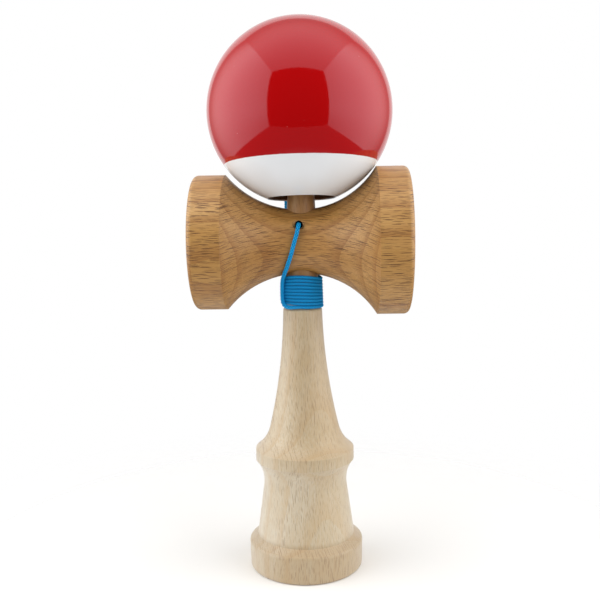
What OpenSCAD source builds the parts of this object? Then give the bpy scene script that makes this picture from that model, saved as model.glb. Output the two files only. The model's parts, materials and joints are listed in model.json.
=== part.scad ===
// Kendama: a wooden ball-and-cup toy, with the ball (tama) put away on the spike of the handle (ken). The cross
// piece (sarado) carries a big and a small cup, and the third cup is in the handle's foot. One string joins them.
// Millimetres. The origin is the centre of the base cup's rim. +Z runs up the handle, +X points to the big cup and
// -Y to the front, where the string leaves the cross piece.

/* [Handle: foot and grip] */
// Diameter of the foot ring at its widest
foot_d = 38.6; // [34:0.1:42]
// Diameter of the foot ring at its lower edge
foot_rim_d = 38.2; // [34:0.1:40]
// Height at which the foot ring is widest
foot_h = 8.4; // [6:0.1:9]
// Radius on the foot ring's upper edge
foot_round = 1.3; // [0.8:0.1:2]
// How far that radius turns before the shoulder starts, in degrees
foot_turn = 66; // [50:1:80]
// Radius on the foot ring's lower edge
foot_ease = 0.9; // [0.4:0.1:1]
// Height at which the grip rises from the foot's shoulder
shoulder_z = 11.2; // [10.8:0.1:13]
// Diameter of the grip where it leaves the foot
grip_foot_d = 32.9; // [30:0.1:35]
// Diameter of the grip at its slimmest
grip_waist_d = 28; // [24:0.1:30]
// Height of the grip's slimmest place
grip_waist_z = 29.8; // [24:0.1:33]
// Radius of the cove between the grip and the collar
cove_r = 12.2; // [10:0.1:20]
// Mouth diameter of the base cup
base_cup_d = 35.2; // [28:0.1:36]

/* [Handle: collar and neck] */
// Diameter of the collar
collar_d = 33.2; // [31:0.1:36]
// Height of the collar's upright band
collar_h = 3.6; // [1:0.1:4.5]
// Bevel on the collar's lower edge
collar_ease = 0.4; // [0.2:0.1:0.8]
// Radius on the collar's upper edge
collar_round = 0.5; // [0.3:0.1:2]
// Radius of the hollow between the collar and the flare
hollow_r = 12; // [8:0.1:14]
// Radius of the long flare from the collar up to the neck
flare_r = 188; // [160:1:240]
// How far above the neck's end the flare would run parallel to the axis
flare_lead = 4.3; // [0:0.1:8]
// Height of the neck's upper end, under the winding
neck_z = 88.8; // [84:0.1:89]
// Diameter of the neck at its upper end
neck_d = 13; // [12.4:0.1:14]

/* [Handle: peg and spike] */
// Diameter of the tapered peg at the neck
peg_d = 11.2; // [10.4:0.1:11.6]
// Diameter of the spike where it leaves the cross piece
spike_d = 9.45; // [8.6:0.05:10]
// Length of the spike above the cross piece
spike_l = 36.9; // [30:0.1:42]
// Diameter of the spike's rounded tip
tip_d = 5.4; // [4:0.1:7]
// Diameter of the recess that holds the anchor knot
knot_recess_d = 4.4; // [4:0.1:5]
// Distance of that recess's floor behind the axis of the peg
knot_recess_y = 0.9; // [0.5:0.1:1.4]

/* [Cross piece] */
// Overall length of the cross piece
sarado_l = 70; // [64:0.5:76]
// Height of the cross piece's axis
sarado_z = 110.6; // [110.2:0.1:116]
// Diameter of the cross piece at its waist
waist_d = 21; // [19:0.1:21.5]
// Diameter of the big-cup flange
big_d = 48.4; // [44:0.1:50]
// Diameter of the small-cup flange
small_d = 44.2; // [40:0.1:47]
// Width of each flange
flange_w = 10.4; // [8:0.1:12]
// Radius on the flanges' outer edges
rim_round = 1.8; // [0.5:0.1:2.5]
// Mouth diameter of the big cup
big_cup_d = 42.6; // [36:0.1:43]
// Mouth diameter of the small cup
small_cup_d = 38.8; // [32:0.1:40]
// Diameter of the string hole
string_hole_d = 2.6; // [2.4:0.1:3.6]
// Height of the string hole above the cross piece's axis
string_hole_rise = 5.8; // [5.8:0.1:6.4]
// Distance of the string hole from the handle's axis, towards the small cup
string_hole_side = 0.6; // [0:0.1:0.8]
// Diameter of the countersink on the string hole
string_sink_d = 4; // [3.8:0.1:4.6]

/* [Ball] */
// Diameter of the ball
tama_d = 60; // [58:0.5:62]
// Diameter of the ball's hole
tama_hole_d = 21.6; // [20:0.1:24]
// Bevel on the mouth of the ball's hole
tama_bevel = 0.5; // [0.3:0.1:2]
// Wood left between the end of the hole and the ball's top
tama_crown = 13; // [10:0.1:16]
// Diameter of the ball's string hole
crown_hole_d = 3; // [2.6:0.1:3.6]
// Diameter of the countersink on the ball's string hole
crown_sink_d = 6; // [5.6:0.1:7]
// Distance of the paint line below the ball's centre
paint_drop = 16.8; // [8:0.1:22]
// Lean of the ball's top towards the back, in degrees
lean_back = 5.3; // [0:0.1:6]
// Lean of the ball's top towards the small cup, in degrees
lean_side = 0.6; // [0:0.1:1]

/* [String and bead] */
// Diameter of the string
string_d = 1.25; // [1:0.05:1.4]
// Diameter of the tube that stands for the string in the winding
wound_d = 0.58; // [0.5:0.01:0.59]
// Rise of the winding in each turn
wound_pitch = 1; // [0.99:0.01:1.01]
// Height of the winding's start above the neck
wound_lift = 0.7; // [0.6:0.05:0.8]
// How much the winding's last turn follows the saddle under the cross piece
saddle_rise = 0.9; // [0.6:0.1:0.9]
// How much lower the winding's turns lie on their right than over the peg's axis
wound_tilt = 0.4; // [0:0.1:0.4]
// Diameter of the bead
bead_d = 8; // [6:0.1:10]
// Length of the bead
bead_h = 6.6; // [5:0.1:8]
// Diameter of the bead's hole
bead_hole_d = 2; // [1.8:0.1:2.4]
// Diameter of the string's two knots
knot_d = 3.6; // [3:0.1:3.8]

/* [Fits] */
// Radial clearance of the tapered peg in the cross piece's bore
bore_clearance = 0.1; // [0.05:0.01:0.2]
// Clearance of pieces that rest on one another
seat_gap = 0.3; // [0.2:0.05:0.5]
// Clearance of the bead, the knots and the wound string on their seats
string_gap = 0.15; // [0.1:0.01:0.2]
// How much wider the cups are than the ball, in radius
cup_relief = 1; // [0.5:0.1:2]

/* [Hidden] */
$fn = 96;

PALE_BEECH = "#e2cda6";
STEAMED_BEECH = "#b98b55";
RED_LACQUER = "#ad1018";
WHITE_LACQUER = "#e4e2df";
BEAD_WOOD = "#d2b083";
BLUE_NYLON = "#1d95d2";

// Points along an arc in the plane, from one angle to another
function arc(centre, radius, from, to, steps = 8) =
    [for (i = [0 : steps]) let (a = from + (to - from) * i / steps) centre + radius * [cos(a), sin(a)]];

// Angle of the direction from one point of the plane to another
function bearing(from, to) = atan2(to[1] - from[1], to[0] - from[0]);

// Upper meeting point of two circles, the first one nearer to the axis
function meeting(c1, r1, c2, r2) =
    let (d = norm(c2 - c1), along = (d * d + r1 * r1 - r2 * r2) / (2 * d))
    let (across = sqrt(r1 * r1 - along * along), u = (c2 - c1) / d)
    c1 + along * u + across * [-u[1], u[0]];

// Radius of an arc that starts level and has this rise at the end of this run
function rise_radius(run, rise) = (run * run + rise * rise) / (2 * rise);

// Where the handle passes the cross piece
sarado_under_z = sarado_z - waist_d / 2;
sarado_over_z = sarado_z + waist_d / 2;
tip_z = sarado_over_z + spike_l;
string_hole_z = sarado_z + string_hole_rise;
function peg_r(z) = peg_d / 2 + (spike_d - peg_d) / 2 * (z - neck_z) / (sarado_over_z - neck_z);

// Collar and flare of the handle: circles that run into each other without a corner
cove_c = [grip_waist_d / 2 + cove_r, grip_waist_z];
cove_foot_a = atan((grip_foot_d - grip_waist_d) / 2 / (grip_waist_z - shoulder_z));
cove_top_a = acos(1 - ((collar_d - grip_waist_d) / 2 - collar_ease) / cove_r);
collar_z = grip_waist_z + cove_r * sin(cove_top_a) + collar_ease;
collar_c = [collar_d / 2 - collar_round, collar_z + collar_h];
neck_round = (neck_d - peg_d) / 2;
flare_x = neck_d / 2 + sqrt(flare_r * flare_r - flare_lead * flare_lead);
flare_c = [flare_x, neck_z - neck_round + flare_lead];
hollow_c = meeting(collar_c, collar_round + hollow_r, flare_c, flare_r - hollow_r);

// Cups that the ball fits
cup_r = tama_d / 2 + cup_relief;
flange_x = sarado_l / 2 - flange_w;

// The ball rests on what it meets first: the spike's tip under the knot, or the edge of a flange
tama_r = tama_d / 2;
hole_end = tama_r - tama_crown;
bead_foot = hole_end - string_gap - bead_h;
knot_foot = bead_foot - string_gap - knot_d;
function over_flange(d) =
    let (reach = tama_r + seat_gap) sarado_z + d / 2 + sqrt(reach * reach - flange_x * flange_x);
tama_z = max(tip_z + seat_gap - knot_foot * cos(lean_back), over_flange(big_d), over_flange(small_d));
tama_mouth_r = tama_hole_d / 2 + tama_bevel;
tama_mouth = -sqrt(tama_r * tama_r - tama_mouth_r * tama_mouth_r);

// Winding: an unbroken helix up the peg, whose upper turns follow the saddle under the cross piece
wound_rings = 24;
wound_sides = 6;
wound_loops = 10;
wound_from = 262;
wound_exit = 40;
wound_to = wound_exit + wound_loops * 360;
wound_z = neck_z + wound_lift;
function wound_at(a) =
    let (share = (a - wound_from) / (wound_to - wound_from))
    let (z = wound_z + wound_pitch * (a - wound_from) / 360)
    let (lift = saddle_rise * share * (1 - cos(2 * a)) / 2, r = peg_r(z) + string_gap + string_d / 2)
    [r * cos(a), r * sin(a), z + lift - wound_tilt * cos(a)];
function wound_dir(a) = let (d = wound_at(a + 1) - wound_at(a - 1)) d / norm(d);
wound_steps = round((wound_to - wound_from) / 360 * wound_rings);
wound_turns = [for (i = [0 : wound_steps]) wound_at(wound_from + (wound_to - wound_from) * i / wound_steps)];
wound_start = wound_turns[0] - wound_d * wound_dir(wound_from);
wound_end = wound_turns[wound_steps] + wound_d * wound_dir(wound_to);
wound_route = concat([wound_start], wound_turns, [wound_end]);
wound_gap = min([for (i = [0 : wound_steps], j = [i + wound_rings / 2 : i + 2 * wound_rings])
    if (j <= wound_steps) norm(wound_turns[j] - wound_turns[i])]) - wound_d;
echo(str("least gap of the winding to itself: ", wound_gap, " mm"));

// Front strand: out of the string hole, down over the cross piece and outside the winding, into its lowest turn
lead_route = concat([
    [-0.6, -8, 116.4], [-0.6, -9.3, 116.4], [-0.7, -10, 116], [-0.9, -10.6, 115.1], [-1.2, -11.1, 113.7],
    [-1.8, -11.4, 111.7], [-2.5, -11.4, 109.2], [-3.2, -10.9, 106.8], [-4, -9.9, 104.5], [-4.7, -8.6, 102.5],
    [-5.4, -7.1, 100.9], [-6, -5.6, 99.4], [-6.4, -4.5, 97.6], [-6.5, -4.1, 95.2], [-6.5, -4.1, 92.6],
    [-6.3, -4.4, 91], [-5.7, -5, 90], [-4.8, -5.6, 89.6], [-3.7, -6, 89.5], [-2.6, -6.2, 89.5]],
    [wound_start]);

// Back stretch: off the winding, behind the cross piece, up to the ball, over its back and into its string hole
back_route = concat([wound_end], [
    [3.2, 5.6, 99.4], [1.8, 6.8, 100.4], [0.2, 8, 102.1], [-1.4, 9.5, 104.2], [-2.8, 10.8, 106.6],
    [-3.9, 11.5, 109.2], [-4.7, 11.9, 111.9], [-5.2, 13.6, 115], [-5.5, 15.4, 118], [-5.6, 17.3, 121.1],
    [-5.7, 19.1, 124.1], [-5.7, 20.9, 127.2], [-5.7, 22.8, 130.3], [-5.6, 24.7, 133.3], [-5.5, 26.5, 136.4],
    [-5.3, 28.7, 141], [-5, 30.3, 146.1], [-4.6, 31, 151.5], [-4.2, 30.8, 156.8], [-3.8, 29.6, 162],
    [-3.4, 27.5, 167], [-3, 24.6, 171.6], [-2.5, 20.9, 175.7], [-2, 16.6, 179], [-1.5, 11.7, 181.5],
    [-1, 8.6, 182.5], [-0.7, 5.5, 183], [-0.5, 4.1, 182.8], [-0.5, 3.1, 182], [-0.5, 2.6, 180.7],
    [-0.5, 2.5, 179.6]]);

// Where the string ends in the ball's countersink, above the ball's centre
string_end_z = 27;

// Tube along a route: a ring square to the route at each point, turned as little as possible from ring to ring.
// The first ring is turned to a direction that no route starts along.
string_sides = 8;
first_side = [0.3, 0.5, 0.8];
function direction(route, i) =
    let (d = route[min(i + 1, len(route) - 1)] - route[max(i - 1, 0)]) d / norm(d);
function square_to(v, d) = let (s = v - (v * d) * d) s / norm(s);
module tube(route, d, sides) {
    last = len(route) - 1;
    dirs = [for (i = [0 : last]) direction(route, i)];
    sideways = [for (i = 0, u = square_to(first_side, dirs[0]); i <= last;
                     i = i + 1, u = i <= last ? square_to(u, dirs[i]) : u) u];
    points = [for (i = [0 : last], k = [0 : sides - 1]) let (a = 360 * k / sides)
        route[i] + d / 2 * (cos(a) * sideways[i] + sin(a) * cross(dirs[i], sideways[i]))];
    walls = [for (i = [0 : last - 1], k = [0 : sides - 1]) let (n = (k + 1) % sides)
        each [[i * sides + k, (i + 1) * sides + k, i * sides + n],
              [i * sides + n, (i + 1) * sides + k, (i + 1) * sides + n]]];
    ends = [for (k = [1 : sides - 2])
        each [[0, k, k + 1], [last * sides, last * sides + k + 1, last * sides + k]]];
    polyhedron(points, concat(walls, ends));
}

// The ball's own frame: its centre, with its axis leaning to the back and to the small cup
module in_tama() {
    translate([0, 0, tama_z]) rotate([-lean_back, -lean_side, 0]) children();
}

// Cylinder along Y through the string hole's axis
module along_string_hole(d, from_y, to_y) {
    translate([-string_hole_side, from_y, string_hole_z]) rotate([-90, 0, 0]) cylinder(d = d, h = to_y - from_y);
}

// Countersink on the string hole, square to the cross piece's front
module string_sink() {
    translate([0, 0, sarado_z]) rotate([-asin(string_hole_rise / (waist_d / 2)), 0, 0])
        translate([-string_hole_side, string_sink_d / 2 - waist_d / 2, 0])
            rotate([90, 0, 0]) cylinder(h = string_sink_d, r1 = 0, r2 = string_sink_d);
}

// Spherical cup whose mouth lies in the plane z = 0 and which hollows what is above it
module cup(mouth_d) {
    translate([0, 0, -sqrt(cup_r * cup_r - mouth_d * mouth_d / 4)]) sphere(r = cup_r);
}

// Handle: one turned piece with the base cup in its foot
module ken() {
    foot_r = foot_d / 2;
    foot_rim_r = foot_rim_d / 2;
    tip_r = tip_d / 2;
    hollow_a = bearing(collar_c, hollow_c);
    flare_a = bearing(hollow_c, flare_c) + 180;
    neck_a = 180 + asin(flare_lead / flare_r);
    outline = concat(
        [[0, 0]],
        arc([foot_rim_r - foot_ease, foot_ease], foot_ease, -90, 0, 4),
        arc([foot_r - foot_round, foot_h], foot_round, 0, foot_turn),
        [[grip_foot_d / 2, shoulder_z]],
        arc(cove_c, cove_r, 180 + cove_foot_a, 180 - cove_top_a, 12),
        [[collar_d / 2, collar_z]],
        arc(collar_c, collar_round, 0, hollow_a),
        arc(hollow_c, hollow_r, hollow_a + 180, flare_a),
        arc(flare_c, flare_r, flare_a, neck_a, 16),
        arc([peg_d / 2, neck_z - neck_round], neck_round, 0, 90, 4),
        [[spike_d / 2, sarado_over_z]],
        arc([0, tip_z - tip_r], tip_r, 0, 90));
    color(PALE_BEECH) difference() {
        rotate_extrude() polygon(outline);
        cup(base_cup_d);
        along_string_hole(string_hole_d, -peg_d, peg_d);
        along_string_hole(knot_recess_d, knot_recess_y, peg_d);
    }
}

// Cross piece: turned about X, with a cup in each end, the tapered bore and the string hole
module sarado() {
    half = sarado_l / 2;
    waist_r = waist_d / 2;
    big_r = big_d / 2;
    small_r = small_d / 2;
    big_sweep = rise_radius(flange_x, big_r - waist_r);
    small_sweep = rise_radius(flange_x, small_r - waist_r);
    outline = concat(
        [[0, -half]],
        arc([small_r - rim_round, -half + rim_round], rim_round, -90, 0),
        arc([waist_r + small_sweep, 0], small_sweep, 180 + asin(flange_x / small_sweep), 180, 14),
        arc([waist_r + big_sweep, 0], big_sweep, 180, 180 - asin(flange_x / big_sweep), 14),
        arc([big_r - rim_round, half - rim_round], rim_round, 0, 90),
        [[0, half]]);
    color(STEAMED_BEECH) difference() {
        translate([0, 0, sarado_z]) rotate([0, 90, 0]) difference() {
            rotate_extrude() polygon(outline);
            translate([0, 0, -half]) cup(small_cup_d);
            translate([0, 0, half]) mirror([0, 0, 1]) cup(big_cup_d);
        }
        translate([0, 0, neck_z]) cylinder(
            h = tip_z - neck_z,
            r1 = peg_r(neck_z) + bore_clearance,
            r2 = peg_r(tip_z) + bore_clearance);
        along_string_hole(string_hole_d, -waist_d, 0);
        string_sink();
    }
}

// Ball: red over a white cap round its hole, with the fine string hole in its crown
module tama() {
    module drilled(colour) {
        color(colour) difference() {
            children();
            translate([0, 0, -tama_r]) cylinder(d = tama_hole_d, h = tama_r + hole_end);
            translate([0, 0, tama_mouth - tama_bevel])
                cylinder(h = 2 * tama_bevel, r1 = tama_mouth_r + tama_bevel, r2 = tama_hole_d / 2);
            cylinder(d = crown_hole_d, h = tama_r);
            translate([0, 0, tama_r - crown_sink_d / 2]) cylinder(h = crown_sink_d, r1 = 0, r2 = crown_sink_d);
        }
    }
    in_tama() {
        drilled(RED_LACQUER) intersection() {
            sphere(r = tama_r);
            translate([-tama_r, -tama_r, -paint_drop]) cube(tama_d);
        }
        drilled(WHITE_LACQUER) intersection() {
            sphere(r = tama_r);
            translate([-tama_r, -tama_r, -paint_drop - tama_d]) cube(tama_d);
        }
    }
}

// Bead: a drilled barrel that seats on the end of the ball's hole
module bead() {
    color(BEAD_WOOD) in_tama() translate([0, 0, bead_foot + bead_h / 2]) rotate_extrude() difference() {
        intersection() {
            circle(d = bead_d);
            translate([0, -bead_h / 2]) square([bead_d, bead_h]);
        }
        translate([0, -bead_h]) square([bead_hole_d / 2, 2 * bead_h]);
    }
}

// Knot in its recess in the peg, and the straight stretch from it out to the front strand
module string_anchor() {
    color(BLUE_NYLON) union() {
        along_string_hole(string_d, lead_route[0][1], knot_recess_y + knot_d / 2);
        translate([-string_hole_side, knot_recess_y + string_gap + knot_d / 2, string_hole_z]) sphere(d = knot_d);
    }
}

module string_lead() {
    color(BLUE_NYLON) tube(lead_route, string_d, string_sides);
}

module string_winding() {
    color(BLUE_NYLON) tube(wound_route, wound_d, wound_sides);
}

module string_to_tama() {
    color(BLUE_NYLON) tube(back_route, string_d, string_sides);
}

// Straight stretch down through the ball's crown and the bead, and the knot under it
module string_end() {
    color(BLUE_NYLON) in_tama() union() {
        translate([0, 0, knot_foot + knot_d / 2]) sphere(d = knot_d);
        translate([0, 0, knot_foot + knot_d / 2])
            cylinder(d = string_d, h = string_end_z - knot_foot - knot_d / 2);
    }
}

ken();
sarado();
tama();
bead();
string_anchor();
string_lead();
string_winding();
string_to_tama();
string_end();
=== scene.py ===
"""Looks of a kendama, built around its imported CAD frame.

The handle (ken), cross piece (sarado), ball (tama) and bead keep their CAD solids and are dressed as turned beech and
sprayed lacquer. The string is rebuilt as a braid along the CAD route. Lengths are in metres unless a name ends in _mm.
"""

from __future__ import annotations

import json
import logging
import math
from dataclasses import dataclass
from enum import Enum

import bpy
import numpy as np
from mathutils import Matrix, Vector

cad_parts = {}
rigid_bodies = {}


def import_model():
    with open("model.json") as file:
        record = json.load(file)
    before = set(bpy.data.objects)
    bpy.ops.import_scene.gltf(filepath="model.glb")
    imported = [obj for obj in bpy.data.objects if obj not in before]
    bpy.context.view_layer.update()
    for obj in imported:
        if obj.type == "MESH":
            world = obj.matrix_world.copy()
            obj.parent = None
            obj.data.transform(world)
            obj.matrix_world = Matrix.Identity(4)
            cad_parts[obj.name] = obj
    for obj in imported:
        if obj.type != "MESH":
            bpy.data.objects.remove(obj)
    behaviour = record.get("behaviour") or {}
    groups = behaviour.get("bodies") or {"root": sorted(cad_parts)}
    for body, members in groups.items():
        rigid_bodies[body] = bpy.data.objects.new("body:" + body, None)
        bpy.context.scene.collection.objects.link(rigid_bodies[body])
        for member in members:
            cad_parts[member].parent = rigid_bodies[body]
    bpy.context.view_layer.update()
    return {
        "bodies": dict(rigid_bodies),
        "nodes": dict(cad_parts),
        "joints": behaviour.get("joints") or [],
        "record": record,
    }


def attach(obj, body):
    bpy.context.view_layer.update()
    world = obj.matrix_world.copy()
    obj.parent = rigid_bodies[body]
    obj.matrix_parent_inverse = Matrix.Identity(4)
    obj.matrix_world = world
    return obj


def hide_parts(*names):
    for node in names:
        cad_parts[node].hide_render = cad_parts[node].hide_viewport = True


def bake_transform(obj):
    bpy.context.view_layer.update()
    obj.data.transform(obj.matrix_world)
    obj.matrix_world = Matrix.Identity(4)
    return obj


Point = tuple[float, float, float]
Socket = bpy.types.NodeSocket
Tree = bpy.types.NodeTree
Piece = bpy.types.Object
Material = bpy.types.Material

LOG = logging.getLogger("kendama")
MM = 0.001
CROWN = "yarn_crown"  # mesh attribute: how far out on the braid a point lies, as a share of its radius
SHARE, UNDER, OVER, MIXED = 0, 6, 7, 2  # sockets of a colour mix: its share, both colours and the result
NOISE_LOW, NOISE_HIGH = 0.3, 0.7  # most of a noise texture lies between these
ACROSS_RAYS, ALONG_GRAIN = 1, 2  # axes of the wood, by number
ASLANT: Point = (0.3, 0.5, 0.8)  # direction that no stretch of the string starts in
SQUARE = np.array([(-1, -1, 0), (1, -1, 0), (1, 1, 0), (-1, 1, 0)], float)


def linear(hex_colour: str) -> tuple[float, float, float, float]:
    """Turns an sRGB hex colour to Blender's linear RGBA.

    Args:
        hex_colour: Six hex digits, with or without a leading #.

    Returns:
        Linear red, green and blue, with alpha 1.
    """
    digits = hex_colour.lstrip("#")
    channels = [int(digits[i : i + 2], 16) / 255 for i in (0, 2, 4)]
    red, green, blue = (c / 12.92 if c <= 0.04045 else ((c + 0.055) / 1.055) ** 2.4 for c in channels)
    return red, green, blue, 1.0


def add_node(tree: Tree, kind: str, inputs: dict | None = None, **settings: object) -> bpy.types.NodeOutputs:
    """Adds a shader node with its settings, values and links.

    Args:
        tree: Node tree that gets the node.
        kind: Node type, without its leading "ShaderNode".
        inputs: Value, or output socket to link, for each input's name or number.
        settings: Properties of the node.

    Returns:
        The new node's outputs.
    """
    node = tree.nodes.new("ShaderNode" + kind)
    for name, value in settings.items():
        setattr(node, name, value)
    for key, value in (inputs or {}).items():
        if isinstance(value, Socket):
            tree.links.new(value, node.inputs[key])
        else:
            node.inputs[key].default_value = value
    return node.outputs


def new_material(name: str) -> tuple[Material, Tree]:
    """Makes an empty node material.

    Args:
        name: The material's name.

    Returns:
        The material and its node tree.
    """
    material = bpy.data.materials.new(name)
    material.use_nodes = True
    material.node_tree.nodes.clear()
    return material, material.node_tree


def shaded(material: Material, kind: str, look: dict) -> Material:
    """Ends a material in a shader.

    Args:
        material: The material.
        kind: The shader's node type.
        look: The shader's inputs.

    Returns:
        The same material.
    """
    shader = add_node(material.node_tree, kind, look)
    add_node(material.node_tree, "OutputMaterial", {"Surface": shader[0]})
    return material


def dress(piece: Piece, material: Material) -> None:
    """Gives a piece one material on all its faces."""
    piece.data.materials.clear()
    piece.data.materials.append(material)


def mesh_object(name: str, points: np.ndarray, faces: list[list[int]]) -> Piece:
    """Makes a smooth mesh object and links it to the scene.

    Args:
        name: Name of the piece.
        points: Corner points, one row each.
        faces: Corner numbers of each face.

    Returns:
        The new object.
    """
    mesh = bpy.data.meshes.new(name)
    mesh.from_pydata(points.tolist(), [], faces)
    mesh.shade_smooth()
    piece = bpy.data.objects.new(name, mesh)
    bpy.context.scene.collection.objects.link(piece)
    return piece


def distances(points: np.ndarray) -> np.ndarray:
    """Gives each point's distance from the first one, measured along the line through them."""
    return np.concatenate([[0.0], np.cumsum(np.linalg.norm(np.diff(points, axis=0), axis=1))])


class GrainAxis(Enum):
    """Direction that a piece's wood grain runs in, as rows that turn the part's axes to the wood's.

    The wood's Z runs along the grain, and its X points from the tree's pith to the piece.
    """

    UP_THE_HANDLE = ((0.5, -0.866, 0.0), (0.866, 0.5, 0.0), (0.0, 0.0, 1.0))
    ALONG_THE_CROSS_PIECE = ((0.0, -0.92, -0.39), (0.0, 0.39, -0.92), (1.0, 0.0, 0.0))


@dataclass(frozen=True)
class ShadeAndWearBand:
    """Darker stretch of painted shade, in places also wear: full at one distance along the grain, gone at another."""

    tint: str
    full_mm: float
    gone_mm: float


@dataclass(frozen=True)
class WoodPlace:
    """Sockets that say where a point lies in the tree that a piece was cut from, in millimetres."""

    drift: Socket
    swayed: Socket
    radius: Socket
    along: Socket
    rolled: Socket


@dataclass(frozen=True)
class TurnedBeech:
    """Beech, turned and sanded: an even pale wood full of short dark dashes.

    The dashes are rays, thin ribbons that stand out from the pith. They show as spindles where the surface faces away
    from the pith and as broad pale patches at right angles to that. Ring lines show as faint contours on the turned
    curves, and end grain is a shade darker because it drinks more oil.
    """

    name: str
    grain: GrainAxis
    light: str
    deep: str
    late: str
    ray: str
    pith_mm: float
    centre_mm: Point = (0.0, 0.0, 0.0)
    heart_per_mm: float = 0.0
    heart_from_mm: float = 0.0
    drift_mm: Point = (14.0, 14.0, 40.0)
    sway_mm: Point = (1.6, 1.6, 3.0)
    ring_mm: float = 3.6
    ring_strength: float = 0.3
    late_part: tuple[float, float] = (0.55, 0.98)
    ray_length_mm: float = 4.5
    ray_thick_mm: float = 0.4
    ray_row_mm: float = 1.2
    ray_depth_mm: float = 9.0
    ray_strength: float = 0.7
    ray_sizes: tuple[float, float] = (0.55, 1.15)
    ray_edge: tuple[float, float] = (1.05, 0.7)
    short_ray: float = 0.75
    short_ray_strength: float = 0.7
    broad_ray: float = 0.4
    broad_from: float = 0.65
    broad_power: float = 2.0
    fibre_mm: Point = (1 / 3, 1 / 3, 25 / 3)  # really 0.02 mm wide, too fine to show, so drawn coarser
    fibre_range: tuple[float, float] = (0.35, 0.75)
    fibre_strength: float = 0.3
    end_grain: float = 0.35
    end_power: float = 4.0
    roughness: float = 0.5
    roughness_spread: tuple[float, float] = (-0.05, 0.08)
    gloss: float = 0.5
    fuzz: float = 0.0
    fuzz_roughness: float = 0.5
    wax: float = 0.0
    wax_roughness: float = 0.35
    bump_mm: float = 0.03
    # bands of painted shade, in places also wear, tinted over the wood
    shade_and_wear_bands: tuple[ShadeAndWearBand, ...] = ()

    def material(self) -> Material:
        """Builds the wood in solid coordinates, so the grain runs through the piece as it does in a turning.

        Returns:
            The wood's material.
        """
        material, tree = new_material(self.name)
        where = add_node(tree, "TexCoord")
        place = self.place(tree, where["Object"])
        fibre_at = add_node(tree, "VectorMath", {0: place.swayed, 1: self.fibre_mm}, operation="DIVIDE")[0]
        fibre = add_node(tree, "TexNoise", {"Vector": fibre_at, "Scale": 1.0, "Detail": 2.0})[0]
        low, high = self.fibre_range
        streaks = {"Value": fibre, "From Min": low, "From Max": high, "To Max": self.fibre_strength}
        # Where the surface lies along the rays they are broad, pale flecks
        side_on = self.facing(tree, where["Normal"], ACROSS_RAYS, self.broad_power)
        fade = {"Value": side_on, "From Min": self.broad_from, "To Min": 1.0, "To Max": self.broad_ray}
        shown = add_node(tree, "MapRange", fade)[0]
        long_rays, short_rays = (self.rays(tree, place.rolled, shown, size) for size in (1.0, self.short_ray))
        end_on = self.facing(tree, where["Normal"], ALONG_GRAIN, self.end_power)

        colour = self.plain_wood(tree, place)
        faint_rays = self.ray_strength * self.short_ray_strength
        for share, tint in (
            (add_node(tree, "MapRange", streaks)[0], self.late),
            (self.ring_share(tree, place.radius), self.late),
            (add_node(tree, "Math", {0: short_rays, 1: faint_rays}, operation="MULTIPLY")[0], self.ray),
            (add_node(tree, "Math", {0: long_rays, 1: self.ray_strength}, operation="MULTIPLY")[0], self.ray),
            (add_node(tree, "Math", {0: end_on, 1: self.end_grain}, operation="MULTIPLY")[0], self.late),
        ):
            figure = {SHARE: share, UNDER: colour, OVER: linear(tint)}
            colour = add_node(tree, "Mix", figure, data_type="RGBA")[MIXED]

        height = add_node(tree, "Math", {0: long_rays, 1: fibre}, operation="SUBTRACT")[0]
        relief = {"Strength": 1.0, "Distance": self.bump_mm * MM, "Height": height}
        bump = add_node(tree, "Bump", relief, invert=True)[0]
        smooth, rough = (self.roughness + change for change in self.roughness_spread)
        sanding = {"Value": fibre, "From Min": NOISE_LOW, "From Max": NOISE_HIGH, "To Min": smooth, "To Max": rough}
        sanded = add_node(tree, "MapRange", sanding)[0]
        # The base colour takes the bands of painted shade, in places also wear
        look = {
            "Base Color": self.shaded_and_worn(tree, colour, place.along),
            "Roughness": sanded,
            "Normal": bump,
            "IOR": 1.5,
            "Specular IOR Level": self.gloss,
            "Sheen Weight": self.fuzz,
            "Sheen Roughness": self.fuzz_roughness,
            "Coat Weight": self.wax,
            "Coat Roughness": self.wax_roughness,
        }
        return shaded(material, "BsdfPrincipled", look)

    def place(self, tree: Tree, where: Socket) -> WoodPlace:
        """Works out where a point lies in the tree that the piece was cut from.

        Args:
            tree: The wood's node tree.
            where: Place in the part's frame, in metres.

        Returns:
            The place as slow drift, as swayed coordinates, and as radius, way along and way round the pith.
        """
        turn = Matrix(self.grain.value)
        cut = {
            "Vector": where,
            "Location": Vector((self.pith_mm, 0.0, 0.0)) - turn @ Vector(self.centre_mm),
            "Rotation": turn.to_euler(),
            "Scale": (1 / MM, 1 / MM, 1 / MM),
        }
        wood = add_node(tree, "Mapping", cut, vector_type="POINT")[0]
        drift = add_node(tree, "VectorMath", {0: wood, 1: self.drift_mm}, operation="DIVIDE")[0]
        cloud = add_node(tree, "TexNoise", {"Vector": drift, "Scale": 1.0, "Detail": 6.0, "Roughness": 0.6})
        shift = add_node(tree, "VectorMath", {0: cloud["Color"], 1: (0.5, 0.5, 0.5)}, operation="SUBTRACT")
        swayed = add_node(tree, "VectorMath", {0: shift[0], 1: self.sway_mm, 2: wood}, operation="MULTIPLY_ADD")[0]
        parts = add_node(tree, "SeparateXYZ", {0: swayed})
        flat = add_node(tree, "CombineXYZ", {"X": parts["X"], "Y": parts["Y"]})[0]
        radius = add_node(tree, "VectorMath", {0: flat}, operation="LENGTH")["Value"]
        angle = add_node(tree, "Math", {0: parts["Y"], 1: parts["X"]}, operation="ARCTAN2")[0]
        way_round = add_node(tree, "Math", {0: angle, 1: self.pith_mm}, operation="MULTIPLY")[0]
        rolled = add_node(tree, "CombineXYZ", {"X": radius, "Y": way_round, "Z": parts["Z"]})[0]
        return WoodPlace(drift, swayed, radius, parts["Z"], rolled)

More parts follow.
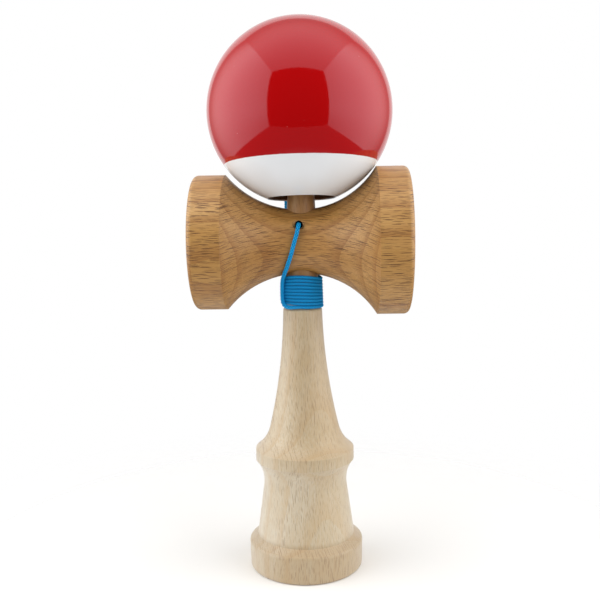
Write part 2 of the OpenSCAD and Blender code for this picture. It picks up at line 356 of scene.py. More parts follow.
    def plain_wood(self, tree: Tree, place: WoodPlace) -> Socket:
        """Mixes light and deep wood in slow clouds, deeper to the outer side of the tree.

        Args:
            tree: The wood's node tree.
            place: Place in the wood.

        Returns:
            Socket with the colour of the wood without its figure.
        """
        cloud = add_node(tree, "TexNoise", {"Vector": place.drift, "Scale": 1.0, "Detail": 3.0})[0]
        even_mm = self.pith_mm + self.heart_from_mm
        outward = add_node(tree, "Math", {0: place.radius, 1: even_mm}, operation="SUBTRACT")[0]
        toned = add_node(tree, "Math", {0: outward, 1: self.heart_per_mm, 2: cloud}, operation="MULTIPLY_ADD")[0]
        share = add_node(tree, "MapRange", {"Value": toned, "From Min": NOISE_LOW, "From Max": NOISE_HIGH})[0]
        wood = {SHARE: share, UNDER: linear(self.light), OVER: linear(self.deep)}
        return add_node(tree, "Mix", wood, data_type="RGBA")[MIXED]

    def ring_share(self, tree: Tree, radius: Socket) -> Socket:
        """Gives the share of late wood in a ring, which darkens slowly outwards and ends sharply.

        Args:
            tree: The wood's node tree.
            radius: Distance from the pith.

        Returns:
            Socket with the share.
        """
        turns = add_node(tree, "Math", {0: radius, 1: self.ring_mm}, operation="DIVIDE")[0]
        within = add_node(tree, "Math", {0: turns}, operation="FRACT")[0]
        start, end = self.late_part
        late = {"Value": within, "From Min": start, "From Max": end, "To Max": self.ring_strength}
        return add_node(tree, "MapRange", late, interpolation_type="SMOOTHSTEP")[0]

    def facing(self, tree: Tree, normal: Socket, axis: int, power: float) -> Socket:
        """Says how squarely a surface faces along one of the wood's axes.

        Args:
            tree: The wood's node tree.
            normal: Direction that the surface faces.
            axis: Number of the axis.
            power: Power that sharpens the answer.

        Returns:
            Socket with 1 face on and 0 edge on.
        """
        along = Matrix(self.grain.value).row[axis]
        cosine = add_node(tree, "VectorMath", {0: normal, 1: along}, operation="DOT_PRODUCT")["Value"]
        return add_node(tree, "Math", {0: cosine, 1: power}, operation="POWER")[0]

    def rays(self, tree: Tree, rolled: Socket, shown: Socket, size: float) -> Socket:
        """Masks the rays: one thin spindle of random size in each cell of a stretched pattern.

        Args:
            tree: The wood's node tree.
            rolled: Place in the wood, as radius, way round and way along.
            shown: Share of the rays that shows.
            size: Size of these rays as a share of the full ones.

        Returns:
            Socket with 1 on a ray that shows fully and 0 off it.
        """
        cell = Vector((self.ray_depth_mm, self.ray_row_mm * size, self.ray_length_mm * size))
        spindle = Vector((self.ray_depth_mm, self.ray_thick_mm * size, self.ray_length_mm * size)) / 2
        at = add_node(tree, "VectorMath", {0: rolled, 1: cell}, operation="DIVIDE")[0]
        cells = add_node(tree, "TexVoronoi", {"Vector": at, "Scale": 1.0})
        off = add_node(tree, "VectorMath", {0: at, 1: cells["Position"]}, operation="SUBTRACT")[0]
        stretch = [c / s for c, s in zip(cell, spindle)]
        scaled = add_node(tree, "VectorMath", {0: off, 1: stretch}, operation="MULTIPLY")[0]
        far = add_node(tree, "VectorMath", {0: scaled}, operation="LENGTH")["Value"]
        chance = add_node(tree, "SeparateColor", {0: cells["Color"]})[0]
        small, large = self.ray_sizes
        reach = add_node(tree, "MapRange", {"Value": chance, "To Min": small, "To Max": large})[0]
        ratio = add_node(tree, "Math", {0: far, 1: reach}, operation="DIVIDE")[0]
        off_ray, on_ray = self.ray_edge
        inside = {"Value": ratio, "From Min": off_ray, "From Max": on_ray}
        mask = add_node(tree, "MapRange", inside, interpolation_type="SMOOTHSTEP")[0]
        return add_node(tree, "Math", {0: mask, 1: shown}, operation="MULTIPLY")[0]

    def shaded_and_worn(self, tree: Tree, colour: Socket, along: Socket) -> Socket:
        """Tints the stretches of painted shade, and of wear where use has browned the wood.

        Args:
            tree: The wood's node tree.
            colour: Colour of the clean wood.
            along: Way along the grain.

        Returns:
            Socket with the tinted colour.
        """
        away = add_node(tree, "Math", {0: along}, operation="ABSOLUTE")[0]
        for band in self.shade_and_wear_bands:
            stretch = {"Value": away, "From Min": band.gone_mm, "From Max": band.full_mm}
            share = add_node(tree, "MapRange", stretch, interpolation_type="SMOOTHSTEP")[0]
            tinted = {SHARE: share, UNDER: colour, OVER: linear(band.tint)}
            colour = add_node(tree, "Mix", tinted, data_type="RGBA", blend_type="MULTIPLY")[MIXED]
        return colour


@dataclass(frozen=True)
class SprayEdge:
    """Edge of a sprayed coat: where it starts, how soft it is and how raggedly it runs."""

    from_mm: float
    soft_mm: float
    ragged_mm: float

    def mask(self, tree: Tree, across: Socket, wave: Socket) -> Socket:
        """Masks the coat.

        Args:
            tree: The lacquer's node tree.
            across: Place across the edge, in millimetres.
            wave: Noise that makes the edge uneven.

        Returns:
            Socket with 1 on the coat and 0 off it.
        """
        uneven = add_node(tree, "Math", {0: wave, 1: self.ragged_mm, 2: across}, operation="MULTIPLY_ADD")[0]
        coat = {"Value": uneven, "From Min": self.from_mm, "From Max": self.from_mm + self.soft_mm}
        return add_node(tree, "MapRange", coat)[0]


@dataclass(frozen=True)
class SprayedLacquer:
    """Gloss lacquer, sprayed over turned wood in two colours with a masked edge.

    It is smooth enough to mirror the light tent, with a faint orange peel and a few dust specks under the gloss. The
    hole's wall is bare wood, with painted shade in its colour.
    """

    name: str
    red: str
    white: str
    shaded_bare_wood: str
    shaded_bare_late: str
    speck: str
    sheen: str
    tape: SprayEdge
    hole: SprayEdge
    edge_wave_mm: float = 1.5
    bare_grain_mm: Point = (0.625, 0.625, 5.0)
    bare_roughness: float = 0.6
    speck_every_mm: float = 7.0
    speck_reach: tuple[float, float] = (0.012, 0.026)
    speck_strength: float = 0.45
    roughness: float = 0.07
    peel_mm: float = 2.5
    peel_share: float = 0.02
    coat_mm: float = 0.03

    def material(self, centre: Vector, axis: Vector) -> Material:
        """Builds the lacquer about the ball's own axis.

        Args:
            centre: Centre of the ball.
            axis: Direction from the hole to the crown.

        Returns:
            The ball's material.
        """
        material, tree = new_material(self.name)
        own_axes = {
            "Vector": add_node(tree, "TexCoord")["Object"],
            "Location": centre,
            "Rotation": Vector((0, 0, 1)).rotation_difference(axis).to_euler(),
            "Scale": (MM, MM, MM),
        }
        ball = add_node(tree, "Mapping", own_axes, vector_type="TEXTURE")[0]
        wave = add_node(tree, "TexNoise", {"Vector": ball, "Scale": 1 / self.edge_wave_mm, "Detail": 2.0})[0]
        height = add_node(tree, "SeparateXYZ", {0: ball})["Z"]
        depth = add_node(tree, "VectorMath", {0: ball}, operation="LENGTH")["Value"]
        painted, outside = self.tape.mask(tree, height, wave), self.hole.mask(tree, depth, wave)
        # The hole's wall is bare wood, darkened with painted shade
        coat = {SHARE: outside, UNDER: self.shaded_bare_wall(tree, ball), OVER: self.coats(tree, ball, painted)}
        colour = add_node(tree, "Mix", coat, data_type="RGBA")[MIXED]
        polish = {"Value": outside, "To Min": self.bare_roughness, "To Max": self.roughness}

        # The red coat lies a hair proud of the white one, and both have a faint orange peel
        peel = add_node(tree, "TexNoise", {"Vector": ball, "Scale": 1 / self.peel_mm, "Detail": 1.0})[0]
        relief = add_node(tree, "Math", {0: peel, 1: self.peel_share, 2: painted}, operation="MULTIPLY_ADD")[0]
        bump = add_node(tree, "Bump", {"Strength": 1.0, "Distance": self.coat_mm * MM, "Height": relief})[0]
        look = {
            "Base Color": colour,
            "Roughness": add_node(tree, "MapRange", polish)[0],
            "Normal": bump,
            "IOR": 1.5,
            "Specular Tint": linear(self.sheen),
        }
        return shaded(material, "BsdfPrincipled", look)

    def coats(self, tree: Tree, ball: Socket, painted: Socket) -> Socket:
        """Colours the two coats, with dust specks in them.

        Args:
            tree: The lacquer's node tree.
            ball: Place on the ball, in millimetres from its centre.
            painted: Mask of the red coat.

        Returns:
            Socket with the colour of the lacquer.
        """
        coat = {SHARE: painted, UNDER: linear(self.white), OVER: linear(self.red)}
        lacquer = add_node(tree, "Mix", coat, data_type="RGBA")[MIXED]
        dust = add_node(tree, "TexVoronoi", {"Vector": ball, "Scale": 1 / self.speck_every_mm})["Distance"]
        full, gone = self.speck_reach
        nib = {"Value": dust, "From Min": gone, "From Max": full, "To Max": self.speck_strength}
        share = add_node(tree, "MapRange", nib)[0]
        dusty = {SHARE: share, UNDER: lacquer, OVER: linear(self.speck)}
        return add_node(tree, "Mix", dusty, data_type="RGBA")[MIXED]

    def shaded_bare_wall(self, tree: Tree, ball: Socket) -> Socket:
        """Colours the bare wood of the hole's wall, darkened with painted shade.

        Args:
            tree: The lacquer's node tree.
            ball: Place on the ball, in millimetres from its centre.

        Returns:
            Socket with the colour of the wood.
        """
        at = add_node(tree, "VectorMath", {0: ball, 1: self.bare_grain_mm}, operation="DIVIDE")[0]
        grain = add_node(tree, "TexNoise", {"Vector": at, "Scale": 1.0, "Detail": 3.0})[0]
        wood = {SHARE: grain, UNDER: linear(self.shaded_bare_wood), OVER: linear(self.shaded_bare_late)}
        return add_node(tree, "Mix", wood, data_type="RGBA")[MIXED]


@dataclass(frozen=True)
class BraidedNylon:
    """Dyed nylon yarn, braided, with a soft gloss: bright on the yarns' crowns, with painted shade between them."""

    name: str
    crown: str
    # colour of the painted shade between the yarns
    deep: str
    roughness: float = 0.6
    gloss: float = 0.25
    fibre_mm: float = 0.22  # filaments are really 0.03 mm thick, too fine to show, so drawn coarser
    fibre_strength: float = 0.3
    crown_from: float = 0.81
    crown_to: float = 1.21
    bump_mm: float = 0.03
    bump_strength: float = 0.4

    def material(self) -> Material:
        """Builds the yarn's colour from its place in the braid, with painted shade towards the grooves, and fine
        streaks.

        Returns:
            The string's material.
        """
        material, tree = new_material(self.name)
        where = add_node(tree, "TexCoord")["Object"]
        streak = add_node(tree, "TexNoise", {"Vector": where, "Scale": 1 / (self.fibre_mm * MM), "Detail": 2.0})[0]
        crown = add_node(tree, "Attribute", attribute_name=CROWN)["Fac"]
        uneven = add_node(tree, "Math", {0: streak, 1: self.fibre_strength, 2: crown}, operation="MULTIPLY_ADD")[0]
        share = add_node(tree, "MapRange", {"Value": uneven, "From Min": self.crown_from, "From Max": self.crown_to})[0]
        # the deep colour is painted shade in the grooves between yarns and turns
        dye_and_painted_shade = {SHARE: share, UNDER: linear(self.deep), OVER: linear(self.crown)}
        colour = add_node(tree, "Mix", dye_and_painted_shade, data_type="RGBA")[MIXED]
        relief = {"Strength": self.bump_strength, "Distance": self.bump_mm * MM, "Height": streak}
        look = {
            "Base Color": colour,
            "Roughness": self.roughness,
            "IOR": 1.53,
            "Normal": add_node(tree, "Bump", relief)[0],
            "Specular IOR Level": self.gloss,
        }
        return shaded(material, "BsdfPrincipled", look)


# Bare beech, finely sanded: pale cream with small brown dashes. Painted shade, with some wear, browns the spike,
# and faint painted shade darkens the handle higher up and on its foot
PALE_BEECH = TurnedBeech(
    name="beech_sanded_pale",
    grain=GrainAxis.UP_THE_HANDLE,
    light="#D4CDBD",
    deep="#C3B498",
    late="#BC9A68",
    ray="#86623A",
    pith_mm=42.0,
    heart_per_mm=0.03,
    heart_from_mm=6.0,
    ring_mm=5.2,
    ring_strength=0.28,
    ray_length_mm=3.0,
    ray_thick_mm=0.15,
    ray_row_mm=0.56,
    ray_strength=0.57,
    fibre_strength=0.45,
    roughness=0.45,
    gloss=0.8,
    fuzz=0.4,
    shade_and_wear_bands=(
        # painted shade under the ball, with some wear, on the spike
        ShadeAndWearBand("#F2C68E", full_mm=99.0, gone_mm=93.0),
        # faint painted shade higher up the handle
        ShadeAndWearBand("#F6ECDA", full_mm=46.0, gone_mm=34.0),
        # painted shade on the foot
        ShadeAndWearBand("#EAE2D6", full_mm=10.8, gone_mm=13.2),
    ),
)
# Steamed beech, oiled and lightly waxed: golden brown with dark dashes, and painted shade at the waist between the cups
STEAMED_BEECH = TurnedBeech(
    name="beech_steamed_oiled",
    grain=GrainAxis.ALONG_THE_CROSS_PIECE,
    light="#CFA468",
    deep="#B88A49",
    late="#94602A",
    ray="#4A2206",
    pith_mm=66.0,
    heart_per_mm=0.018,
    heart_from_mm=13.0,
    centre_mm=(0.0, 0.0, 110.6),
    ring_mm=4.4,
    ring_strength=0.5,
    ray_length_mm=4.4,
    ray_thick_mm=0.14,
    ray_row_mm=0.44,
    ray_strength=1.0,
    fibre_strength=0.45,
    roughness=0.44,
    gloss=0.4,
    wax=0.3,
    # painted shade in the waist, which lies deep between the cups
    shade_and_wear_bands=(ShadeAndWearBand("#F2E5CE", full_mm=6.0, gone_mm=26.0),),
)
# Small beech bead, tumbled smooth and left bare
BEAD_BEECH = TurnedBeech(
    name="beech_tumbled_bead",
    grain=GrainAxis.UP_THE_HANDLE,
    light="#D9B98A",
    deep="#CDA877",
    late="#B38A57",
    ray="#8A6338",
    pith_mm=30.0,
)
# Dyed nylon, braided round a core: bright blue crowns, with painted shade of deep blue between them
BLUE_NYLON = BraidedNylon(name="nylon_braided_blue", crown="#08ACF0", deep="#044A8A")
# Gloss lacquer on wood: deep red above the taped edge, cool white below it
RED_AND_WHITE = SprayedLacquer(
    name="lacquer_sprayed_gloss",
    red="#AC0709",
    white="#ECEEF0",
    # bare wood of the hole, darkened with painted shade
    shaded_bare_wood="#7A5334",
    shaded_bare_late="#5E3D24",
    speck="#D9A0A0",
    sheen="#EDF0FF",
    tape=SprayEdge(from_mm=-16.8, soft_mm=0.12, ragged_mm=0.12),
    hole=SprayEdge(from_mm=29.8, soft_mm=0.25, ragged_mm=0.5),
)


@dataclass
class PhotoCamera:
    """Camera fitted to the photograph, which is a square 600 pixels wide."""

    photo_px: float = 600.0
    focal_px: float = 827.5
    distance: float = 0.27345
    azimuth_deg: float = 1.6
    height: float = 0.12599
    pitch_down_deg: float = 7.265
    aim_left_deg: float = 0.175
    roll_deg: float = -0.94
    sensor_mm: float = 36.0
    clip_start: float = 0.01

    def build(self) -> None:
        """Makes the camera and sets it as the scene's own."""
        data = bpy.data.cameras.new("photo_camera")
        data.sensor_width = self.sensor_mm
        data.lens = self.sensor_mm * self.focal_px / self.photo_px
        data.clip_start = self.clip_start
        camera = bpy.data.objects.new("photo_camera", data)
        bpy.context.scene.collection.objects.link(camera)
        azimuth = math.radians(self.azimuth_deg)
        place = Vector((self.distance * math.sin(azimuth), -self.distance * math.cos(azimuth), self.height))
        heading = Matrix.Rotation(azimuth + math.radians(self.aim_left_deg), 4, "Z")
        tilt = Matrix.Rotation(math.radians(90 - self.pitch_down_deg), 4, "X")
        roll = Matrix.Rotation(math.radians(self.roll_deg), 4, "Z")
        camera.matrix_world = Matrix.Translation(place) @ heading @ tilt @ roll
        bpy.context.scene.camera = camera


@dataclass
class LightTent:
    """White tent of the size that a hand-sized object is photographed in, open to the front, with lamps at its sides.

    Its walls glow and light the object. They don't show to the camera, which sees a white background. The glow of the
    walls falls off to front_share at the opening, to far_glow at the back and to low_share at the floor. Three cards
    that only gloss mirrors stand for the dark opening, the white back and the shaded floor.
    """

    half_width: float = 0.26
    front: float = 0.36
    back: float = 0.32
    top: float = 0.515
    left_glow: float = 2.6
    right_glow: float = 2.5
    top_glow: float = 1.5
    front_share: float = 0.7
    far_glow: float = 0.45
    far_at: float = 0.85
    low_share: float = 0.66
    low_at: float = -0.35
    opening_glow: float = 0.015
    back_glow: float = 1.0
    floor_glow: float = 0.2
    room_glow: float = 0.55
    floor_colour: str = "#F4F3F1"
    floor_reach: float = 0.4
    floor_fade: tuple[float, float] = (0.04, 0.17)

    def build(self) -> None:
        """Makes the walls, the gloss cards, the floor and the world."""
        middle, half_depth = (self.back - self.front) / 2, (self.back + self.front) / 2
        half_height = self.top / 2
        deep, wide, high = Vector((0, half_depth, 0)), Vector((self.half_width, 0, 0)), Vector((0, 0, half_height))
        for name, place, u, v, glow, low in (
            ("left", (-self.half_width, middle, half_height), deep, high, self.left_glow, self.low_share),
            ("right", (self.half_width, middle, half_height), deep, high, self.right_glow, self.low_share),
            ("top", (0, middle, self.top), deep, wide, self.top_glow, 1.0),
        ):
            wall = self.panel(f"tent_{name}", Vector(place), u, v)
            dress(wall, self.glowing_cloth(name, glow, low))
        for name, place, u, v, glow in (
            ("opening", (0, -self.front, half_height), wide, high, self.opening_glow),
            ("back", (0, self.back, half_height), wide, high, self.back_glow),
            ("floor", (0, middle, -MM), wide, deep, self.floor_glow),
        ):
            card = self.panel(f"gloss_{name}", Vector(place), u, v)
            card.visible_diffuse = card.visible_shadow = card.visible_transmission = False
            dress(card, self.gloss_card(name, glow))
        self.build_floor()
        self.build_world()

    def panel(self, name: str, place: Vector, u: Vector, v: Vector) -> Piece:
        """Makes a flat stage panel that doesn't show to the camera.

        Args:
            name: Name of the panel.
            place: Its middle.
            u: Half its width, as a vector.
            v: Half its height, as a vector.

        Returns:
            The panel, whose own coordinates run from -1 to 1.
        """
        panel = mesh_object(name, SQUARE, [[0, 1, 2, 3]])
        normal = u.cross(v).normalized()
        panel.matrix_world = Matrix([(u[i], v[i], normal[i], place[i]) for i in range(3)] + [(0, 0, 0, 1)])
        panel.visible_camera = False
        return panel

    def glowing_cloth(self, name: str, glow: float, low: float) -> Material:
        """Builds white cloth with a lamp behind it.

        Args:
            name: Name of the wall.
            glow: Strength of the glow by the lamp.
            low: Share of it that is left at the floor.

        Returns:
            The wall's material, whose glow falls off to the tent's opening, its back and the floor.
        """
        material, tree = new_material(f"tent_cloth_{name}")
        where = add_node(tree, "TexCoord")["Object"]
        across = add_node(tree, "SeparateXYZ", {0: where})
        near = glow * self.front_share
        before, behind, down = (
            add_node(tree, "MapRange", fall, interpolation_type="SMOOTHSTEP")[0]
            for fall in (
                {"Value": across["X"], "From Min": -1.0, "From Max": 0.0, "To Min": near, "To Max": glow},
                {"Value": across["X"], "From Max": self.far_at, "To Min": glow, "To Max": self.far_glow},
                {"Value": across["Y"], "From Min": -1.0, "From Max": self.low_at, "To Min": low},
            )
        )
        strength = add_node(tree, "Math", {0: before, 1: behind}, operation="MINIMUM")[0]
        strength = add_node(tree, "Math", {0: strength, 1: down}, operation="MULTIPLY")[0]
        return shaded(material, "Emission", {"Strength": strength})

    def gloss_card(self, name: str, glow: float) -> Material:
        """Builds a card of an even glow."""
        return shaded(new_material(f"gloss_card_{name}")[0], "Emission", {"Strength": glow})

    def build_floor(self) -> None:
        """Makes the pale floor, which keeps the shadow and fades into the white background."""
        floor = mesh_object("floor", SQUARE * self.floor_reach, [[0, 1, 2, 3]])
        material, tree = new_material("floor_cloth_white")
        where = add_node(tree, "TexCoord")["Object"]
        reach = add_node(tree, "VectorMath", {0: where}, operation="LENGTH")["Value"]
        start, end = self.floor_fade
        rim = {"Value": reach, "From Min": start, "From Max": end}
        fade = add_node(tree, "MapRange", rim, interpolation_type="SMOOTHSTEP")[0]
        cloth = add_node(tree, "BsdfDiffuse", {"Color": linear(self.floor_colour)})
        clear = add_node(tree, "BsdfTransparent")
        dress(floor, shaded(material, "MixShader", {0: fade, 1: cloth[0], 2: clear[0]}))

    def build_world(self) -> None:
        """Makes a world that is white to the eye and in reflections, and a plain fill light otherwise."""
        world = bpy.data.worlds.new("studio")
        bpy.context.scene.world = world
        world.use_nodes = True
        tree = world.node_tree
        tree.nodes.clear()
        path = add_node(tree, "LightPath")
        seen = path["Is Camera Ray"]
        for ray in ("Is Glossy Ray", "Is Transmission Ray"):
            seen = add_node(tree, "Math", {0: seen, 1: path[ray]}, operation="MAXIMUM")[0]
        strength = add_node(tree, "MapRange", {"Value": seen, "To Min": self.room_glow, "To Max": 1.0})[0]
        background = add_node(tree, "Background", {"Color": linear("#FFFFFF"), "Strength": strength})
        add_node(tree, "OutputWorld", {"Surface": background[0]})


@dataclass
class Braid:
    """Round braid of yarns that run both ways round a core and pass over and under each other in turn."""

    diameter_mm: float = 1.25
    lay_mm: float = 4.2
    yarns_each_way: int = 4
    yarn_thick_mm: float = 0.32
    yarn_wide_mm: float = 0.46
    wave_mm: float = 0.12
    step_mm: float = 0.225
    yarn_sides: int = 6
    core_sides: int = 6

    def along(self, name: str, route_mm: np.ndarray, squash: np.ndarray | None = None) -> Piece:
        """Lays the braid along a route.

        Args:
            name: Name of the piece.
            route_mm: Points that the braid's centre follows, close together.
            squash: Share of its height that the braid keeps at each point, all 1 if left out.

        Returns:
            The braid as one mesh object.
        """
        run = distances(route_mm)
        even = np.linspace(0.0, run[-1], int(run[-1] / self.step_mm) + 1)
        centre = np.stack([np.interp(even, run, route_mm[:, i]) for i in range(3)], 1)
        keep = np.ones(len(even)) if squash is None else np.interp(even, run, squash)
        points, faces, crowns, start = [], [], [], 0
        for tube in self.tubes(centre):
            tube[:, :, 2] *= keep[:, None]
            crowns.append(np.linalg.norm(tube.reshape(-1, 3), axis=1) / (self.diameter_mm / 2))
            points.append((tube + centre[:, None, :]).reshape(-1, 3))
            faces += self.skin(len(centre), tube.shape[1], start)
            start += len(points[-1])
        piece = mesh_object(name, np.concatenate(points) * MM, faces)
        crown = piece.data.attributes.new(CROWN, "FLOAT", "POINT")
        crown.data.foreach_set("value", np.concatenate(crowns).astype(np.float32))
        return piece

    def tubes(self, centre: np.ndarray) -> list[np.ndarray]:
        """Lays the yarns and the core round a line.

        Args:
            centre: Points of the line, in even steps.

        Returns:
            For each yarn and the core, its points' offsets from the line, by ring and by place in the ring.
        """
        side, over = self.frames(centre)
        turn = 2 * math.pi * distances(centre) / self.lay_mm
        mean = self.diameter_mm / 2 - self.yarn_thick_mm / 2
        tubes = []
        for way in (1, -1):
            for yarn in range(self.yarns_each_way):
                angle = way * turn + 2 * math.pi * yarn / self.yarns_each_way
                radius = mean + way * self.wave_mm * np.cos(self.yarns_each_way * turn)
                out = np.cos(angle)[:, None] * side + np.sin(angle)[:, None] * over
                offset = radius[:, None] * out
                ahead = np.gradient(centre + offset, axis=0)
                ahead /= np.linalg.norm(ahead, axis=1)[:, None]
                thick, wide = out * self.yarn_thick_mm / 2, np.cross(ahead, out) * self.yarn_wide_mm / 2
                tubes.append(self.tube(offset, thick, wide, self.yarn_sides))
        tubes.append(self.tube(np.zeros_like(centre), side * mean, over * mean, self.core_sides))
        return tubes

    @staticmethod
    def frames(centre: np.ndarray) -> tuple[np.ndarray, np.ndarray]:
        """Works out directions to the side of and over a line, turned as little as possible along it.

        Args:
            centre: Points of the line.

        Returns:
            Both directions at each point.
        """
        ahead = np.gradient(centre, axis=0)
        ahead /= np.linalg.norm(ahead, axis=1)[:, None]
        side = np.zeros_like(centre)
        last = np.cross(ahead[0], ASLANT)
        for i, direction in enumerate(ahead):
            last = last - last.dot(direction) * direction
            last /= np.linalg.norm(last)
            side[i] = last
        return side, np.cross(ahead, side)

    @staticmethod
    def tube(line: np.ndarray, u: np.ndarray, v: np.ndarray, sides: int) -> np.ndarray:
        """Lays elliptic rings along a line.

        Args:
            line: Centre of each ring.
            u: One half-axis of each ring.
            v: The other half-axis.
            sides: Points in a ring.

        Returns:
            The points, by ring and by place in the ring.
        """
        angles = 2 * math.pi * np.arange(sides) / sides
        across = np.cos(angles)[None, :, None] * u[:, None, :] + np.sin(angles)[None, :, None] * v[:, None, :]
        return line[:, None, :] + across

    @staticmethod
    def skin(rings: int, sides: int, start: int) -> list[list[int]]:
        """Closes a tube of rings with faces.

        Args:
            rings: How many rings the tube has.
            sides: Points in a ring.
            start: Number of the tube's first point.

        Returns:
            The walls' and both ends' faces.
        """
        first = start + np.arange(rings - 1)[:, None] * sides
        here = np.arange(sides)[None, :]
        after = (here + 1) % sides
        walls = np.stack([first + here, first + after, first + sides + after, first + sides + here], -1)
        near = list(range(start, start + sides))
        far = list(range(start + (rings - 1) * sides, start + rings * sides))
        return walls.reshape(-1, 4).tolist() + [near[::-1], far]


def smooth_route(points: list[Point] | np.ndarray, parts: int = 8) -> np.ndarray:
    """Rounds a route with a curve through its points.

    Args:
        points: Points that the route passes.
        parts: Steps between neighbouring points.

    Returns:
        The points of the rounded route.
    """
    knots = np.asarray(points, float)
    padded = np.concatenate([[2 * knots[0] - knots[1]], knots, [2 * knots[-1] - knots[-2]]])
    t = np.arange(parts)[:, None] / parts
    pieces = []
    for a, b, c, d in zip(padded, padded[1:], padded[2:], padded[3:]):
        square, cube = 2 * a - 5 * b + 4 * c - d, 3 * b - a - 3 * c + d
        pieces.append(0.5 * (2 * b + (c - a) * t + square * t**2 + cube * t**3))
    return np.concatenate([*pieces, knots[-1:]])


class Lay(Enum):
    """How a free stretch of the string lies."""

    COILED = "coiled"
    TAUT = "taut"


@dataclass
class KendamaString:
    """String from the knot in the handle, through the cross piece, round the peg and over the ball's back to its bead.

    The places repeat the CAD source's, in millimetres. The turns of the winding press each other flat to wound_height,
    and the strand is pressed by steps, press_in, where it runs into them.
    """

    braid: Braid
    neck_z_mm: float = 88.8
    over_z_mm: float = 121.1
    peg_d_mm: float = 11.2
    spike_d_mm: float = 9.45
    gap_mm: float = 0.15
    wound_from_deg: float = 262.0
    wound_to_deg: float = 3640.0
    wound_pitch_mm: float = 1.0
    wound_lift_mm: float = 0.7
    wound_step_deg: float = 12.0
    wound_height: float = 0.8
    press_in: tuple[float, ...] = (0.95, 0.9)
    saddle_mm: float = 0.9
    tilt_mm: float = 0.4
    hole_x_mm: float = -0.6
    hole_z_mm: float = 116.4
    anchor_y_mm: tuple[float, float] = (-7.9, 0.9)
    anchor_knot_y_mm: float = 2.85
    free_to_z_mm: float = 149.0
    crown_mm: float = 27.0
    bead_knot_mm: float = 8.3
    knot_lead_mm: float = 2.0
    knot_size_mm: float = 0.4
    knot_points: int = 40
    knot_open_rad: float = 0.15
    knot_side: Point = (0.0, 0.3, 0.9)
    knot_parts: int = 4
    path_every: int = 4
    # From the string hole down the front and outside the winding to its lowest turn
    lead_mm: tuple[Point, ...] = (
        (-0.6, -8, 116.4), (-0.6, -9.3, 116.4), (-0.7, -10, 116), (-0.9, -10.6, 115.1), (-1.2, -11.1, 113.7),
        (-1.8, -11.4, 111.7), (-2.5, -11.4, 109.2), (-3.2, -10.9, 106.8), (-4, -9.9, 104.5),
        (-4.7, -8.6, 102.5), (-5.4, -7.1, 100.9), (-6, -5.6, 99.4), (-6.4, -4.5, 97.6), (-6.5, -4.1, 95.2),
        (-6.5, -4.1, 92.6), (-6.3, -4.4, 91), (-5.7, -5, 90), (-4.8, -5.6, 89.6), (-3.7, -6, 89.5),
        (-2.6, -6.2, 89.5),
    )  # fmt: skip
    # From the winding up behind the cross piece and over the ball's back to its string hole
    back_mm: tuple[Point, ...] = (
        (3.2, 5.6, 99.4), (1.8, 6.8, 100.4), (0.2, 8, 102.1), (-1.4, 9.5, 104.2), (-2.8, 10.8, 106.6),
        (-3.9, 11.5, 109.2), (-4.7, 11.9, 111.9), (-5.2, 13.6, 115), (-5.5, 15.4, 118), (-5.6, 17.3, 121.1),
        (-5.7, 19.1, 124.1), (-5.7, 20.9, 127.2), (-5.7, 22.8, 130.3), (-5.6, 24.7, 133.3),
        (-5.5, 26.5, 136.4), (-5.3, 28.7, 141), (-5, 30.3, 146.1), (-4.6, 31, 151.5), (-4.2, 30.8, 156.8),
        (-3.8, 29.6, 162), (-3.4, 27.5, 167), (-3, 24.6, 171.6), (-2.5, 20.9, 175.7), (-2, 16.6, 179),
        (-1.5, 11.7, 181.5), (-1, 8.6, 182.5), (-0.7, 5.5, 183), (-0.5, 4.1, 182.8), (-0.5, 3.1, 182),
        (-0.5, 2.6, 180.7), (-0.5, 2.5, 179.6),
    )  # fmt: skip

    def wound(self, angle_deg: float) -> Point:
        """Gives the winding's centre at an angle round the peg.

        Args:
            angle_deg: Angle from +X, which runs on from turn to turn.

        Returns:
            The point.
        """
        angle = math.radians(angle_deg)
        gone_deg = angle_deg - self.wound_from_deg
        z = self.neck_z_mm + self.wound_lift_mm + self.wound_pitch_mm * gone_deg / 360
        taper = (self.spike_d_mm - self.peg_d_mm) / 2 / (self.over_z_mm - self.neck_z_mm)
        radius = self.peg_d_mm / 2 + taper * (z - self.neck_z_mm) + self.gap_mm + self.braid.diameter_mm / 2
        share = gone_deg / (self.wound_to_deg - self.wound_from_deg)
        lift = self.saddle_mm * share * (1 - math.cos(2 * angle)) / 2
        return radius * math.cos(angle), radius * math.sin(angle), z + lift - self.tilt_mm * math.cos(angle)

    def winding_route(self) -> list[Point]:
        """Lists the points of the winding.

        Returns:
            Points at even angles, from the lowest turn to the highest.
        """
        count = round((self.wound_to_deg - self.wound_from_deg) / self.wound_step_deg)
        return [self.wound(a) for a in np.linspace(self.wound_from_deg, self.wound_to_deg, count + 1)]

    def build(self, finish: BraidedNylon, centre: Vector, axis: Vector) -> list[Piece]:
        """Args:
            finish: The string's finish.
            centre: Centre of the ball.
            axis: Direction from the ball's hole to its crown.

        Returns:
            The new pieces.
        """
        turns = self.winding_route()
        front = smooth_route([*self.lead_mm, *turns])
        heights = [1.0] * (len(self.lead_mm) - len(self.press_in)) + [*self.press_in] + [self.wound_height] * len(turns)
        squash = np.interp(np.linspace(0, 1, len(front)), np.linspace(0, 1, len(heights)), heights)
        wound = self.braid.along("string_front_and_winding", front, squash)
        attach(wound, "handle")
        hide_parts("string_lead", "string_winding")

        back = smooth_route([turns[-1], *self.back_mm])
        rising = self.braid.along("string_over_ball", back)
        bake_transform(rising)
        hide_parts("string_to_tama")

        in_hole = [np.array((self.hole_x_mm, y, self.hole_z_mm)) for y in (*self.anchor_y_mm, self.anchor_knot_y_mm)]
        anchor = self.braid.along("string_anchor_knot", self.knotted(*in_hole))
        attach(anchor, "handle")
        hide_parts("string_anchor")

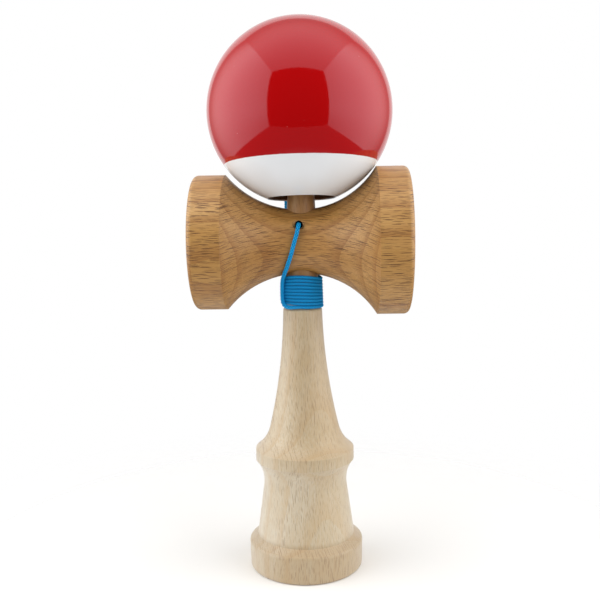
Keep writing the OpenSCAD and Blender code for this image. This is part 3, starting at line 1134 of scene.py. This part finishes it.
        up_axis = (self.crown_mm, self.bead_knot_mm + self.knot_lead_mm, self.bead_knot_mm)
        in_ball = [np.array(centre / MM + axis * height) for height in up_axis]
        end = self.braid.along("string_bead_knot", self.knotted(*in_ball))
        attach(end, "bead")
        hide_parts("string_end")

        pieces = [wound, rising, anchor, end]
        material = finish.material()
        for piece in pieces:
            dress(piece, material)
        return pieces

    def knotted(self, start: np.ndarray, stop: np.ndarray, middle: np.ndarray) -> np.ndarray:
        """Lists the points of a straight stretch that ends in an overhand knot.

        Args:
            start: First point of the stretch.
            stop: Its last point.
            middle: Middle of the knot.

        Returns:
            The points of the stretch and the knot.
        """
        ahead = (stop - start) / np.linalg.norm(stop - start)
        side = np.cross(ahead, self.knot_side)
        side /= np.linalg.norm(side)
        over = np.cross(ahead, side)
        t = np.linspace(self.knot_open_rad, 2 * math.pi - self.knot_open_rad, self.knot_points)
        loop = (
            (np.sin(t) + 2 * np.sin(2 * t))[:, None] * side
            + (np.cos(t) - 2 * np.cos(2 * t))[:, None] * over
            - np.sin(3 * t)[:, None] * ahead
        )
        return smooth_route(np.concatenate([[start, stop], middle + self.knot_size_mm * loop]), self.knot_parts)


@dataclass
class TurnedPiece:
    """Turned wooden piece of the CAD frame, with its finish."""

    node: str
    slot: str
    finish: TurnedBeech

    def dress(self, frame: dict) -> Piece:
        """Dresses the piece in its wood.

        Args:
            frame: The loaded frame.

        Returns:
            The piece.
        """
        piece = frame["nodes"][self.node]
        dress(piece, self.finish.material())
        return piece


@dataclass
class Handle(TurnedPiece):
    """Ken: the turned handle with its spike, collar and base cup."""

    node: str = "ken"
    slot: str = "pale_beech"
    finish: TurnedBeech = PALE_BEECH


@dataclass
class CrossPiece(TurnedPiece):
    """Sarado: the turned cross piece with its two cups."""

    node: str = "sarado"
    slot: str = "steamed_beech"
    finish: TurnedBeech = STEAMED_BEECH


@dataclass
class Bead(TurnedPiece):
    """Bead inside the ball, which holds its string."""

    node: str = "bead"
    slot: str = "bead_wood"
    finish: TurnedBeech = BEAD_BEECH


@dataclass
class Ball:
    """Tama: the lacquered ball."""

    node: str = "tama"
    slot: str = "tama_lacquer"
    finish: SprayedLacquer = RED_AND_WHITE
    spin_joint: str = "tama_spin"

    def place(self, frame: dict) -> tuple[Vector, Vector]:
        """Gives the ball's centre and the direction of its axis, from the joint that it spins on."""
        joint = next(j for j in frame["joints"] if j["name"] == self.spin_joint)
        return Vector(joint["pos_m"]), Vector(joint["axis"]).normalized()

    def dress(self, frame: dict) -> Piece:
        """Dresses the ball in lacquer.

        Args:
            frame: The loaded frame.

        Returns:
            The ball.
        """
        piece = frame["nodes"][self.node]
        dress(piece, self.finish.material(*self.place(frame)))
        return piece


def main() -> None:
    """Builds the scene in order and reports each piece."""
    logging.basicConfig(level=logging.INFO, format="%(name)s: %(message)s")
    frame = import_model()
    bpy.context.scene.view_settings.view_transform = "Standard"

    PhotoCamera().build()
    ball = Ball()
    pieces = KendamaString(Braid()).build(BLUE_NYLON, *ball.place(frame))
    LightTent().build()
    pieces += [part.dress(frame) for part in (Handle(), CrossPiece(), ball, Bead())]
    for piece in pieces:
        LOG.info("%s: %d faces", piece.name, len(piece.data.polygons))


if __name__ == "__main__":
    main()
